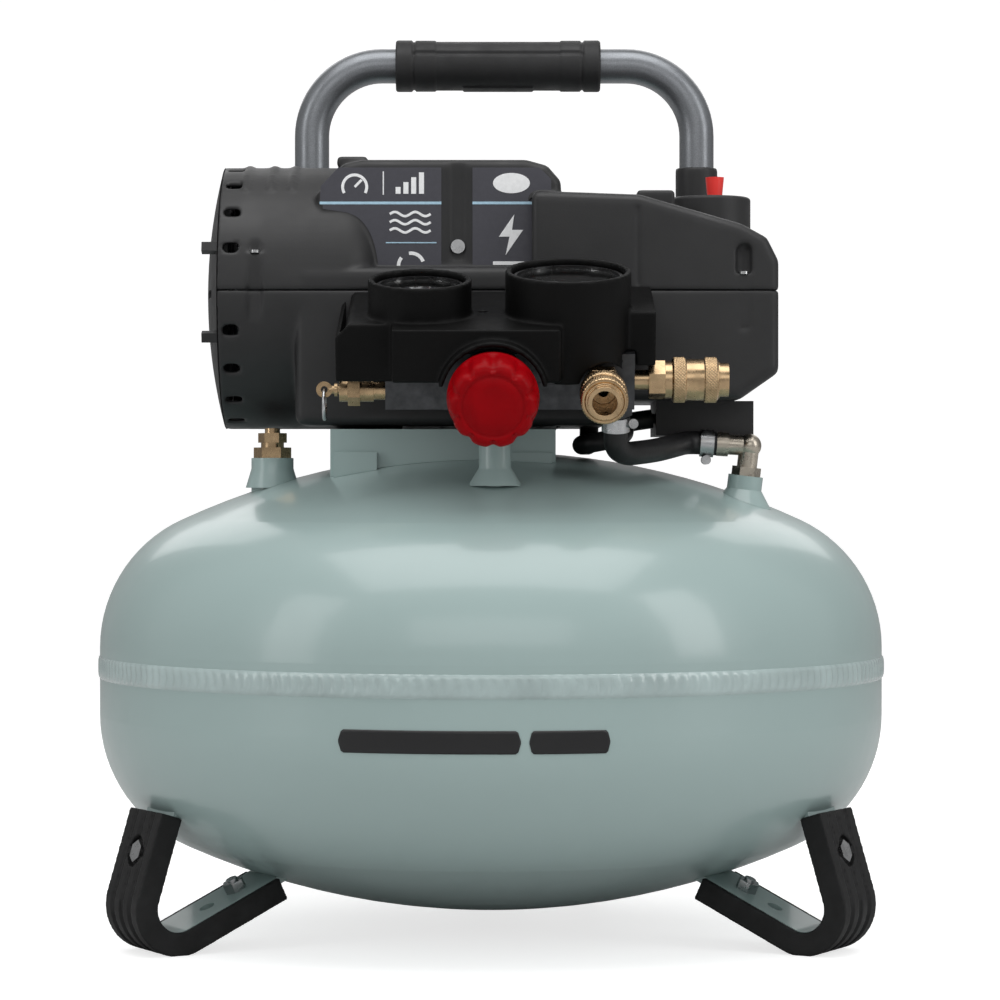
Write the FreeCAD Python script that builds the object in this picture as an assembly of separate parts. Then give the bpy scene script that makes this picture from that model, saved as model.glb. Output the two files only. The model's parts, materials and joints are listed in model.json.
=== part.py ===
import FreeCAD, Part
import math
import os

os.makedirs("parts", exist_ok=True)

# Millimetres, +Z up, origin on the floor under the tank's axis, -Y is the operator's side.
V = FreeCAD.Vector
X = V(1, 0, 0)
Y = V(0, 1, 0)
Z = V(0, 0, 1)

# --- driving dimensions -------------------------------------------------------------------------
TANK_R = 205.0
TANK_WALL = 2.5
KNUCKLE_R = 73.0
DOME_H = 102.0
TANK_BOTTOM = 12.0
BAND_H = 35.0
BAND_LOW = TANK_BOTTOM + DOME_H
BAND_HIGH = BAND_LOW + BAND_H
TANK_TOP = BAND_HIGH + DOME_H
SEAM_Z = 139.0
CROWN_R = ((TANK_R - KNUCKLE_R) ** 2 + DOME_H ** 2 - KNUCKLE_R ** 2) / (2 * (DOME_H - KNUCKLE_R))

FOOT_ANGLES = {"left": 210.0, "right": -30.0, "rear": 90.0}
FOOT_BEND = (188.5, 23.5)
OUTER_LEAN = math.radians(17.0)
INNER_RISE = math.radians(25.0)
PAD_R = 24.0
PAD_T = 8.0
STRAP_T = 4.0
STRAP_OUT = PAD_R - PAD_T
STRAP_IN = STRAP_OUT - STRAP_T
PAD_W = 38.0
STRAP_W = 32.0
OUTER_BOLT_T = 22.0
INNER_BOLT_T = 38.0
BOLT_R = 3.0

MOTOR_Y = 8.0
MOTOR_Z = 332.0
BARREL_R = 69.0
BARREL_X0 = -140.0
BARREL_X1 = -58.0
END_COVER_X = -149.0
SHROUD_WALL = 2.5
SHROUD_FRONT = -61.0
SHROUD_BACK = 77.0
SPLIT_Z = 333.0
RIGHT_X = 147.0
LABEL_FRONT = -47.0
BARREL_ROUND = 20.0
SHROUD_ROUND = 5.0
CHANNEL_R = 4.2
SHROUD_TOP = 401.0

CONSOLE_TILT = 15.0
CONSOLE = FreeCAD.Placement(V(0, -112, 287.5), FreeCAD.Rotation(X, CONSOLE_TILT))
COVER_BACK = SHROUD_FRONT - 1.5
MANIFOLD_X0 = -52.0
MANIFOLD_X1 = 70.6
MANIFOLD_Y = 13.0
MANIFOLD_Z = 14.0
REG_X = 1.0
FRONT_X = 54.5
SIDE_Z = -2.0
SAFETY_Z = -7.0

HANDLE_Y = 88.5
HANDLE_R = 9.5
HANDLE_WALL = 2.0
HANDLE_X0 = -99.0
HANDLE_X1 = 113.7
HANDLE_TOP = 465.0
HANDLE_BEND = 39.0

CRANK_THROW = 7.0
CYLINDER_X = 1.0
SADDLE_TOP = 262.0
SWITCH = V(120.5, 38, 388)
PLATE_LOW = 286.0
PLATE_TOP = 322.0
GLAND = V(50, 77, 304)


# --- helpers ------------------------------------------------------------------------------------
def box(x0, x1, y0, y1, z0, z1):
    return Part.makeBox(x1 - x0, y1 - y0, z1 - z0, V(x0, y0, z0))


def cyl(r, base, length, axis=Z):
    return Part.makeCylinder(r, length, base, axis)


def ring(r_out, r_in, base, length, axis=Z):
    return cyl(r_out, base, length, axis).cut(cyl(r_in, base, length, axis))


def cone(r0, r1, base, length, axis=Z):
    return Part.makeCone(r0, r1, length, base, axis)


def rod(r, start, end):
    return cyl(r, start, (end - start).Length, end - start)


def fuse(shapes):
    return shapes[0].fuse(shapes[1:]).removeSplitter()


def hexagon(flats, base, length, axis=Z):
    radius = flats / math.sqrt(3)
    corners = [V(radius * math.cos(math.radians(a)), radius * math.sin(math.radians(a)), 0)
               for a in range(0, 361, 60)]
    prism = Part.Face(Part.makePolygon(corners)).extrude(V(0, 0, length))
    prism.Placement = FreeCAD.Placement(base, FreeCAD.Rotation(Z, axis))
    return prism


def prism_xz(points, y0, y1):
    corners = [V(x, y0, z) for x, z in points]
    return Part.Face(Part.makePolygon(corners + corners[:1])).extrude(V(0, y1 - y0, 0))


def turned(shape, degrees):
    copy = shape.copy()
    copy.rotate(V(0, 0, 0), Z, degrees)
    return copy


def on_console(shape):
    copy = shape.copy()
    copy.Placement = CONSOLE.multiply(copy.Placement)
    return copy


def save(name, shape):
    if not shape.isValid():
        print("INVALID", name)
    if shape.Volume <= 0:
        print("EMPTY", name)
    if len(shape.Solids) != 1:
        print(name, "solids:", len(shape.Solids))
    shape.exportStep("parts/" + name + ".step")


def hose(name, points, r_out, r_in):
    """A tube through straight runs joined by tangent arcs."""
    edges = []
    start = points[0]
    for a, b, c in zip(points, points[1:], points[2:]):
        into = (b - a).normalize()
        out = (c - b).normalize()
        half_turn = into.getAngle(out) / 2
        shorter = min((b - a).Length, (c - b).Length)
        setback = 0.45 * shorter
        radius = setback / math.tan(half_turn)
        print(name, "arc radius", round(radius, 1))
        p0 = b - into * setback
        p1 = b + out * setback
        to_centre = (out - into).normalize()
        centre = b + to_centre * (radius / math.cos(half_turn))
        mid = centre - to_centre * radius
        edges.append(Part.LineSegment(start, p0).toShape())
        edges.append(Part.Arc(p0, mid, p1).toShape())
        start = p1
    edges.append(Part.LineSegment(start, points[-1]).toShape())
    path = Part.Wire(edges)
    first = (points[1] - points[0]).normalize()
    pipes = []
    for r in (r_out, r_in):
        section = Part.Wire(Part.makeCircle(r, points[0], first))
        pipes.append(path.makePipeShell([section], True, False))
    tube = pipes[0].cut(pipes[1])
    expected = math.pi * (r_out ** 2 - r_in ** 2) * path.Length
    print(name, "length", round(path.Length, 1), "volume ratio", round(tube.Volume / expected, 4))
    return tube


# --- tank ---------------------------------------------------------------------------------------
def tank_solid(inset=0.0):
    """The tank's full outer form, shrunk by inset all round."""
    r = TANK_R - inset
    knuckle = KNUCKLE_R - inset
    crown = CROWN_R - inset
    low = TANK_BOTTOM + inset
    high = TANK_TOP - inset
    kx = TANK_R - KNUCKLE_R
    slope = math.atan2(kx, CROWN_R - DOME_H)
    join_x = crown * math.sin(slope)
    join_drop = crown * (1 - math.cos(slope))
    half_x = crown * math.sin(slope / 2)
    half_drop = crown * (1 - math.cos(slope / 2))
    turn = (slope + math.pi / 2) / 2
    mid_x = kx + knuckle * math.sin(turn)
    mid_z = knuckle * math.cos(turn)
    edges = [
        Part.Arc(V(0, 0, low), V(half_x, 0, low + half_drop), V(join_x, 0, low + join_drop)).toShape(),
        Part.Arc(V(join_x, 0, low + join_drop), V(mid_x, 0, BAND_LOW - mid_z), V(r, 0, BAND_LOW)).toShape(),
        Part.LineSegment(V(r, 0, BAND_LOW), V(r, 0, BAND_HIGH)).toShape(),
        Part.Arc(V(r, 0, BAND_HIGH), V(mid_x, 0, BAND_HIGH + mid_z), V(join_x, 0, high - join_drop)).toShape(),
        Part.Arc(V(join_x, 0, high - join_drop), V(half_x, 0, high - half_drop), V(0, 0, high)).toShape(),
        Part.LineSegment(V(0, 0, high), V(0, 0, low)).toShape(),
    ]
    return Part.Face(Part.Wire(edges)).revolve(V(0, 0, 0), Z, 360)


def surface_point(x, y, top=True):
    """The point of the crown above or below (x, y), and its outward normal."""
    centre_z = TANK_TOP - CROWN_R if top else TANK_BOTTOM + CROWN_R
    rise = math.sqrt(CROWN_R ** 2 - x * x - y * y)
    z = centre_z + rise if top else centre_z - rise
    return V(x, y, z), V(x, y, z - centre_z).normalize()


TANK = tank_solid()
INSIDE = tank_solid(TANK_WALL)
CLEAR_OF_TANK = tank_solid(-0.4)
OUTLET_POINT, _ = surface_point(130, -40)
OUTLET_NORMAL = V(0.12, -0.03, 1).normalize()
DRAIN_POINT, DRAIN_NORMAL = surface_point(55, 100, top=False)
PORT_R = 4.0
VALVE_TOP = 247.5
OUTLET_BOSS_H = 12.0
DRAIN_BOSS_H = 6.0
DRAIN_LEVER = 8.5


def build_tank():
    shell = TANK.cut(INSIDE)
    ports = [cyl(PORT_R, V(-114, -20, 200), 80)]
    ports.append(rod(PORT_R, OUTLET_POINT - OUTLET_NORMAL * 20, OUTLET_POINT + OUTLET_NORMAL * 20))
    ports.append(rod(PORT_R, DRAIN_POINT - DRAIN_NORMAL * 20, DRAIN_POINT + DRAIN_NORMAL * 20))
    for port in ports:
        shell = shell.cut(port)
    wide = TANK_R + 10
    save("tank_upper_shell", shell.common(box(-wide, wide, -wide, wide, SEAM_Z, 300)))
    save("tank_lower_shell", shell.common(box(-wide, wide, -wide, wide, 0, SEAM_Z)))
    bulge = 1.8
    half = 6.0
    arc = Part.Arc(V(TANK_R, 0, SEAM_Z - half), V(TANK_R + bulge, 0, SEAM_Z), V(TANK_R, 0, SEAM_Z + half))
    back = Part.LineSegment(V(TANK_R, 0, SEAM_Z + half), V(TANK_R, 0, SEAM_Z - half))
    bead = Part.Face(Part.Wire([arc.toShape(), back.toShape()])).revolve(V(0, 0, 0), Z, 360)
    save("tank_seam_weld", bead)
    print("tank holds litres", round(INSIDE.Volume / 1e6, 2))


def build_bosses():
    valve = fuse([cyl(11, V(-114, -20, 230), VALVE_TOP - 230),
                  cone(14, 11, V(-114, -20, 232), 10)])
    outlet = fuse([rod(9, OUTLET_POINT - OUTLET_NORMAL * 6.3, OUTLET_POINT + OUTLET_NORMAL * OUTLET_BOSS_H),
                   cone(15, 9, OUTLET_POINT - OUTLET_NORMAL * 3.8, 8.8, OUTLET_NORMAL)])
    drain = rod(9, DRAIN_POINT - DRAIN_NORMAL * 6, DRAIN_POINT + DRAIN_NORMAL * DRAIN_BOSS_H)
    ports = (cyl(PORT_R, V(-114, -20, 220), 60),
             rod(PORT_R, OUTLET_POINT - OUTLET_NORMAL * 20, OUTLET_POINT + OUTLET_NORMAL * 30),
             rod(PORT_R, DRAIN_POINT - DRAIN_NORMAL * 20, DRAIN_POINT + DRAIN_NORMAL * 30))
    bosses = [boss.cut(port).cut(TANK) for boss, port in zip((valve, outlet, drain), ports)]
    save("tank_bosses", Part.makeCompound([main_solid(boss) for boss in bosses]))


def rear_plate():
    """The upright plate behind the pump that carries the handle's legs."""
    sheet = 3.0
    y0 = SHROUD_BACK + 0.3
    middle = box(-82, 33, y0, y0 + sheet, 225, PLATE_TOP)
    wide = box(HANDLE_X0 - 9, HANDLE_X1 + 9, y0, y0 + sheet, PLATE_LOW, PLATE_TOP)
    plate = fuse([middle, wide])
    return plate.cut(cyl(10.5, V(GLAND.x, y0 - 1, GLAND.z), 10, Y))


def build_saddle():
    x0, x1, y0, y1 = -82, 33, -60, SHROUD_BACK + 3.3
    sheet = 3.0
    outer = box(x0, x1, y0, y1, 225, SADDLE_TOP)
    hollow = box(x0 - 1, x1 + 1, y0 + sheet, y1 - sheet, 220, SADDLE_TOP - sheet)
    saddle = fuse([outer.cut(hollow),
                   box(x0, x0 + sheet, y0 + 18, y1 - 18, 225, SADDLE_TOP),
                   box(x1 - sheet, x1, y0 + 18, y1 - 18, 225, SADDLE_TOP)])
    tabs = [box(x, x + 22, y0 - 5, y0 + sheet, 225, 250) for x in (x0 + 2, x1 - 24)]
    saddle = fuse([saddle, rear_plate()] + tabs).cut(TANK)
    save("pump_saddle", saddle)


def build_post():
    foot, _ = surface_point(2, -110)
    post = fuse([cyl(8, V(2, -110, 225), 65), cone(13.5, 8, V(2, -110, foot.z - 2), 9)])
    below = on_console(box(-60, 60, -60, 60, -90, -MANIFOLD_Z))
    save("console_post", post.common(below).cut(TANK))


# --- feet ---------------------------------------------------------------------------------------
def foot_point(radius, along_outer=None, along_inner=None):
    """A point of the foot's side view at an offset from its bend, in (distance from the axis, z)."""
    if along_inner is None:
        nx, nz = math.cos(OUTER_LEAN), math.sin(OUTER_LEAN)
        dx, dz, t = -math.sin(OUTER_LEAN), math.cos(OUTER_LEAN), along_outer
    else:
        nx, nz = -math.sin(INNER_RISE), -math.cos(INNER_RISE)
        dx, dz, t = -math.cos(INNER_RISE), math.sin(INNER_RISE), along_inner
    return V(FOOT_BEND[0] + radius * nx + t * dx, 0, FOOT_BEND[1] + radius * nz + t * dz)


def strap(r_out, r_in, t_outer, t_inner, width, offset=0.0):
    def low(radius):
        return V(FOOT_BEND[0], 0, FOOT_BEND[1] - radius)

    edges = [
        Part.LineSegment(foot_point(r_out, t_outer), foot_point(r_out, 0)).toShape(),
        Part.Arc(foot_point(r_out, 0), low(r_out), foot_point(r_out, None, 0)).toShape(),
        Part.LineSegment(foot_point(r_out, None, 0), foot_point(r_out, None, t_inner)).toShape(),
        Part.LineSegment(foot_point(r_out, None, t_inner), foot_point(r_in, None, t_inner)).toShape(),
        Part.LineSegment(foot_point(r_in, None, t_inner), foot_point(r_in, None, 0)).toShape(),
        Part.Arc(foot_point(r_in, None, 0), low(r_in), foot_point(r_in, 0)).toShape(),
        Part.LineSegment(foot_point(r_in, 0), foot_point(r_in, t_outer)).toShape(),
        Part.LineSegment(foot_point(r_in, t_outer), foot_point(r_out, t_outer)).toShape(),
    ]
    solid = Part.Face(Part.Wire(edges)).extrude(V(0, width, 0))
    solid.translate(V(0, offset - width / 2, 0))
    return solid


def foot_holes(r, r_from, r_to):
    outer = rod(r, foot_point(r_from, OUTER_BOLT_T), foot_point(r_to, OUTER_BOLT_T))
    inner = rod(r, foot_point(r_from, None, INNER_BOLT_T), foot_point(r_to, None, INNER_BOLT_T))
    return outer, inner


def build_feet():
    pad = strap(PAD_R, STRAP_IN, 42.9, 54.5, PAD_W)
    pad = pad.cut(strap(STRAP_OUT, STRAP_IN - 1, 80, 80, STRAP_W))
    for offset in (-10.0, 0.0, 10.0):
        pad = pad.cut(strap(PAD_R + 2, PAD_R - 1.5, 80, 80, 4.0, offset))
    for hole in foot_holes(8.0, PAD_R + 4, PAD_R - 4.0) + foot_holes(BOLT_R, PAD_R, STRAP_IN - 4):
        pad = pad.cut(hole)
    pad = pad.cut(box(0, 260, -40, 40, -20, 0)).cut(CLEAR_OF_TANK)
    bracket = strap(STRAP_OUT, STRAP_IN, 62, 74, STRAP_W).cut(TANK)
    for hole in foot_holes(BOLT_R, PAD_R, STRAP_IN - 4):
        bracket = bracket.cut(hole)
    spare = rod(4.0, foot_point(STRAP_OUT, None, 20), foot_point(STRAP_IN - 4, None, 20))
    bracket = bracket.cut(spare)
    bolts = []
    for t_outer, t_inner in ((OUTER_BOLT_T, None), (None, INNER_BOLT_T)):
        head = foot_point(PAD_R - 0.5, t_outer, t_inner)
        seat = foot_point(PAD_R - 4.0, t_outer, t_inner)
        nut = foot_point(STRAP_IN, t_outer, t_inner)
        nut_end = foot_point(STRAP_IN - 5.0, t_outer, t_inner)
        tip = foot_point(STRAP_IN - 6.5, t_outer, t_inner)
        bolts.append(fuse([hexagon(10, seat, 3.5, head - seat),
                           rod(BOLT_R, seat, tip),
                           hexagon(10, nut, 5.0, nut_end - nut)]))
    all_bolts = []
    for side, angle in FOOT_ANGLES.items():
        save("foot_pad_" + side, turned(pad, angle))
        save("foot_bracket_" + side, turned(bracket, angle))
        all_bolts += [turned(bolt, angle) for bolt in bolts]
    save("foot_bolts", Part.makeCompound(all_bolts))


# --- fittings and hoses -------------------------------------------------------------------------
ELBOW_CORNER = OUTLET_POINT + OUTLET_NORMAL * 27.5
ELBOW_DIR = V(-1, 0, 0.06).normalize()
ELBOW_END = ELBOW_CORNER + ELBOW_DIR * 17
HOSE_R = 6.0
HOSE_BORE = 3.3
THIN_HOSE_R = 5.0
THIN_HOSE_BORE = 2.5
PORT_X = 62.0
PORT_STUB = 6.0


def console_point(x, y, z):
    return CONSOLE.multVec(V(x, y, z))


CONSOLE_UP = CONSOLE.Rotation.multVec(Z)
CONSOLE_FRONT = CONSOLE.Rotation.multVec(V(0, -1, 0))
HOSE_END = console_point(PORT_X, 0, -MANIFOLD_Z - PORT_STUB)


def build_check_valve():
    foot = V(-114, -20, VALVE_TOP)
    valve = fuse([cyl(PORT_R - 0.1, foot - Z * 10, 12),
                  hexagon(17, foot, 5.5),
                  cyl(6, foot + Z * 5.5, 2.5),
                  hexagon(13, foot + Z * 8, 5),
                  cyl(4.0, foot + Z * 13, 2.5)])
    save("check_valve", valve)


def build_elbow():
    base = OUTLET_POINT + OUTLET_NORMAL * OUTLET_BOSS_H
    elbow = fuse([rod(PORT_R - 0.1, base - OUTLET_NORMAL * 10, base),
                  hexagon(13, base, 4.5, OUTLET_NORMAL),
                  rod(5.2, base, ELBOW_CORNER),
                  Part.makeSphere(6.2, ELBOW_CORNER),
                  rod(5.2, ELBOW_CORNER, ELBOW_END - ELBOW_DIR * 3),
                  rod(6.2, ELBOW_END - ELBOW_DIR * 6, ELBOW_END),
                  rod(HOSE_BORE, ELBOW_END, ELBOW_END + ELBOW_DIR * 9)])
    save("tank_elbow", elbow)


def supply_points():
    return [ELBOW_END,
            ELBOW_END + ELBOW_DIR * 15,
            V(84, -72, 251),
            V(68, -94, 249),
            HOSE_END - CONSOLE_UP * 17,
            HOSE_END]


def thin_points():
    return [V(84, -18, 268),
            V(70, -19, 266),
            V(68, -48, 258),
            V(46, -48, 254),
            V(52, 10, 254.5),
            V(52, 10, 275)]


def clamp(start, axis):
    band = ring(HOSE_R + 1.1, HOSE_R, start, 7, axis)
    side = axis.cross(Y).normalize() * (HOSE_R + 2.6)
    screw = cyl(2.4, start + axis * 3.5 + side - Y * 5, 10, Y)
    return band.fuse(screw.cut(cyl(HOSE_R, start - axis * 4, 15, axis))).removeSplitter()


def build_hoses():
    supply = supply_points()
    save("supply_hose", hose("supply_hose", supply, HOSE_R, HOSE_BORE))
    save("unloader_hose", hose("unloader_hose", thin_points(), THIN_HOSE_R, THIN_HOSE_BORE))
    start = ELBOW_END + ELBOW_DIR * 1.5
    end_axis = CONSOLE_UP * -1
    save("hose_clamps", Part.makeCompound([clamp(start, ELBOW_DIR), clamp(HOSE_END - CONSOLE_UP, end_axis)]))


DRAIN_SIDE = V(-DRAIN_POINT.y, DRAIN_POINT.x, 0).normalize()
DRAIN_PIVOT = DRAIN_POINT + DRAIN_NORMAL * (DRAIN_BOSS_H + 9)


def build_drain():
    start = DRAIN_POINT + DRAIN_NORMAL * DRAIN_BOSS_H
    body = fuse([rod(PORT_R - 0.1, start - DRAIN_NORMAL * 8, start),
                 hexagon(14, start, 4, DRAIN_NORMAL),
                 rod(6.0, start, start + DRAIN_NORMAL * 15),
                 rod(4.2, DRAIN_PIVOT, DRAIN_PIVOT + DRAIN_SIDE * 7.5)])
    body = body.cut(rod(2.5, start - DRAIN_NORMAL * 9, start + DRAIN_NORMAL * 16))
    save("drain_valve_body", body)
    radial = DRAIN_NORMAL.cross(DRAIN_SIDE).normalize()
    hub = DRAIN_PIVOT + DRAIN_SIDE * 7.8
    arm = hub + DRAIN_SIDE * 2.1
    tip = arm + radial * DRAIN_LEVER
    lever = fuse([rod(4.0, hub, hub + DRAIN_SIDE * 4.2), rod(2.0, arm, tip), Part.makeSphere(2.6, tip)])
    save("drain_valve_lever", lever)
    print("drain pivot", DRAIN_PIVOT, "axis", DRAIN_SIDE, "radial", radial)


# --- regulator console --------------------------------------------------------------------------
GAUGES = {"tank_gauge": (-35.0, 0.0, 21.5, 49.0, 25.5), "outlet_gauge": (38.0, 2.0, 27.0, 53.0, 31.0)}
CASE_H = 18.0
CUP_LIP = 3.0


def build_manifold():
    block = box(MANIFOLD_X0, MANIFOLD_X1, -MANIFOLD_Y, MANIFOLD_Y, -MANIFOLD_Z, MANIFOLD_Z)
    solid = fuse([block, cyl(HOSE_BORE, V(PORT_X, 0, -MANIFOLD_Z - PORT_STUB - 9), 10 + PORT_STUB),
                  hexagon(14, V(PORT_X, 0, -MANIFOLD_Z - PORT_STUB), PORT_STUB)])
    for x in (MANIFOLD_X0 - 1, MANIFOLD_X1 - 13):
        solid = solid.cut(cyl(4, V(x, 0, SAFETY_Z if x < 0 else SIDE_Z), 14, X))
    solid = solid.cut(cyl(8, V(REG_X, -MANIFOLD_Y - 1, 0), 9, Y))
    solid = solid.cut(cyl(4, V(FRONT_X, -MANIFOLD_Y - 1, 0), 12, Y))
    for x, y, _, _, _ in GAUGES.values():
        solid = solid.cut(cyl(4, V(x, y, MANIFOLD_Z - 12), 14))
    save("manifold", on_console(solid))


def cover_form(inset):
    """The console cover's full form, shrunk by inset all round."""
    def block(x0, x1, y0, z0, z1):
        return box(x0 + inset, x1 - inset, y0 + inset, 55, z0 - inset, z1 - inset)

    parts = [block(-76, -40, -22, 2, 31), block(-48, 34, -38, 5, 31.5), block(26, 81, -8, 2, 34)]
    cut = 8.0
    left = parts[0].cut(prism_xz([(-77, 31 - cut), (-76 + cut, 32), (-77, 32)], -60, 60))
    x, y, _, rim, cup = GAUGES["outlet_gauge"]
    right_cup = cyl(cup - inset, V(x, y, 2 - inset), rim - 2 + inset)
    x, y, _, rim, cup = GAUGES["tank_gauge"]
    left_cup = cyl(cup - inset, V(x, y, 20), rim - 20)
    return fuse([left, parts[1], parts[2], right_cup, left_cup])


def build_cover():
    wall = 2.5
    cover = cover_form(0.0).cut(cover_form(wall))
    for x, y, _, rim, cup in GAUGES.values():
        cover = cover.cut(cyl(cup - wall, V(x, y, -5), 80))
        cover = cover.fuse(ring(cup, cup - CUP_LIP, V(x, y, rim - 3), 3))
    arch = ring(27, 24.5, V(REG_X, -36, 0), 9, V(0, -1, 0)).common(box(-40, 40, -60, 0, 5, 40))
    cover = cover.fuse(arch)
    cover = cover.cut(cyl(24.5, V(REG_X, -70, 0), 45, Y))
    gap = 0.5
    cover = cover.cut(box(MANIFOLD_X0 - gap, MANIFOLD_X1 + gap, -MANIFOLD_Y - gap, MANIFOLD_Y + gap,
                          -MANIFOLD_Z, MANIFOLD_Z + gap))
    cover = cover.cut(cyl(11.5, V(70, 0, SIDE_Z), 20, X))
    cover = cover.cut(cyl(11.5, V(FRONT_X, -32, 0), 22, Y))
    cover = cover.cut(cyl(2.2, V(-4, 6, 20), 20))
    cover = on_console(cover).cut(box(-200, 200, COVER_BACK, 100, 200, 420))
    save("console_cover", max(cover.Solids, key=lambda solid: solid.Volume))


def build_regulator():
    front = V(0, -1, 0)
    start = V(REG_X, -MANIFOLD_Y, 0)
    bonnet = cyl(17, start, 28, front).cut(cyl(13, start, 25, front)).cut(cyl(4.3, start, 30, front))
    save("regulator_bonnet", on_console(bonnet))
    face = V(REG_X, -42, 0)
    knob = fuse([cyl(20.4, face, 23, front), cyl(21.6, face, 4, front)])
    lobes = 10
    for i in range(lobes):
        a = 2 * math.pi * i / lobes
        knob = knob.fuse(cyl(4.2, V(REG_X + 18.0 * math.cos(a), -42, 18.0 * math.sin(a)), 21, front))
    knob = knob.removeSplitter().cut(ring(15, 13.6, V(REG_X, -64.2, 0), 3, front))
    stem = cyl(4.0, V(REG_X, -16, 0), 28, front)
    save("regulator_knob", on_console(knob.fuse(stem)))
    nut = ring(12.6, 4.06, V(REG_X, -30, 0), 4, front)
    save("regulator_nut", on_console(nut))
    turns = 4
    length = 14.0
    helix = Part.makeHelix(length / turns, length, 8.8)
    wire_r = 0.9
    section = Part.Wire(Part.makeCircle(wire_r, V(8.8, 0, 0), Y))
    coil = Part.Wire(helix).makePipeShell([section], True, True)
    coil.Placement = FreeCAD.Placement(V(REG_X, -14.1, 0), FreeCAD.Rotation(X, 90))
    save("regulator_spring", on_console(coil))


def build_gauge(name):
    x, y, r, rim, _ = GAUGES[name]
    top = rim - 3
    floor = top - CASE_H
    case = cyl(r, V(x, y, floor), CASE_H).cut(cyl(r - 1.5, V(x, y, floor + 2), CASE_H))
    case = fuse([case, cyl(5, V(x, y, MANIFOLD_Z), floor - MANIFOLD_Z),
                 hexagon(14, V(x, y, MANIFOLD_Z), 7), cyl(3.9, V(x, y, MANIFOLD_Z - 8), 9)])
    save(name + "_case", on_console(case))
    dial = cyl(r - 1.5, V(x, y, floor + 2), 1).cut(cyl(1.1, V(x, y, floor), 5))
    save(name + "_dial", on_console(dial))
    reach = r * 0.72
    pivot = V(x, y, floor + 4)
    blade = box(0, reach, -0.8, 0.8, 0, 0.8)
    blade = blade.fuse(cyl(2.6, V(0, 0, 0), 1.2)).fuse(box(-6, 0, -1.2, 1.2, 0, 0.8))
    blade = blade.fuse(cyl(1.0, V(0, 0, -1.9), 2.5)).removeSplitter()
    blade.Placement = FreeCAD.Placement(pivot, FreeCAD.Rotation(Z, 225))
    save(name + "_needle", on_console(blade))
    save(name + "_lens", on_console(cyl(r - 1.5, V(x, y, top - 3), 1.5)))


def build_couplers():
    front = V(0, -1, 0)
    at = [V(FRONT_X, y, 0) for y in (-13, -20, -29, -58, -35, -54)]
    body = fuse([cyl(3.9, at[0] - front * 8, 9, front), cyl(6, at[0], 7, front),
                 hexagon(19, at[1], 9, front), cyl(9.2, at[2], 26, front), cyl(8.2, at[2], 29, front)])
    body = body.cut(cyl(6.0, at[3], 24, Y)).cut(cyl(2.5, at[3], 60, Y))
    save("front_coupler_body", on_console(body))
    sleeve = fuse([cyl(10.8, at[4], 19, front), cyl(11.6, at[4], 6, front), cyl(11.6, at[5], 6, Y)])
    save("front_coupler_sleeve", on_console(sleeve.cut(cyl(9.26, at[4], 20, front))))
    side = [V(x, 0, SIDE_Z) for x in (70.6, 78, 86, 117.5, 89.4, 105.2)]
    body = fuse([cyl(3.9, side[0] - X * 8, 9, X), cyl(5, side[0], 8, X), hexagon(17, side[1], 8, X),
                 cyl(9.2, side[2], 27, X), cyl(8.4, side[2], 31.5, X)])
    body = body.cut(cyl(6.0, side[3], 24, V(-1, 0, 0))).cut(cyl(2.5, side[3], 60, V(-1, 0, 0)))
    save("side_coupler_body", on_console(body))
    sleeve = fuse([cyl(10.4, side[4], 22.9, X), cyl(11.35, side[4], 6.9, X), cyl(11.35, side[5], 7.1, X)])
    save("side_coupler_sleeve", on_console(sleeve.cut(cyl(9.26, side[4] - X, 26, X))))


def build_safety_valve():
    centre = console_point(0, 0, SAFETY_Z)
    left = V(-1, 0, 0)

    def at(x):
        return V(x, centre.y, centre.z)

    body = fuse([cyl(3.9, at(MANIFOLD_X0 + 8), 9, left), cyl(5, at(MANIFOLD_X0), 8, left),
                 cyl(6, at(-58), 17, left), hexagon(14, at(-64.8), 6, left)])
    save("safety_valve_body", body.cut(cyl(2.1, at(-60), 20, left)))
    eye = cyl(4, at(-82.5) - Y * 2, 4, Y)
    stem = fuse([cyl(2.06, at(-63), 17, left), cyl(3.4, at(-76), 1.5, left), eye])
    save("safety_valve_stem", stem.cut(cyl(1.7, at(-82.5) - Y * 4, 8, Y)))
    ring_r = 7.25
    save("safety_valve_ring", Part.makeTorus(ring_r, 0.9, at(-82.5) - Z * ring_r, X))
    print("safety axis", centre)


# --- shroud -------------------------------------------------------------------------------------
def rounded(shape, radius):
    """The shape with all its edges rounded, or as it is where the rounding can't be made."""
    try:
        soft = shape.makeFillet(radius, shape.Edges)
        if soft.isValid() and soft.Volume > 0:
            return soft
    except Exception:
        pass
    print("not rounded", shape.BoundBox)
    return shape


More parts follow.
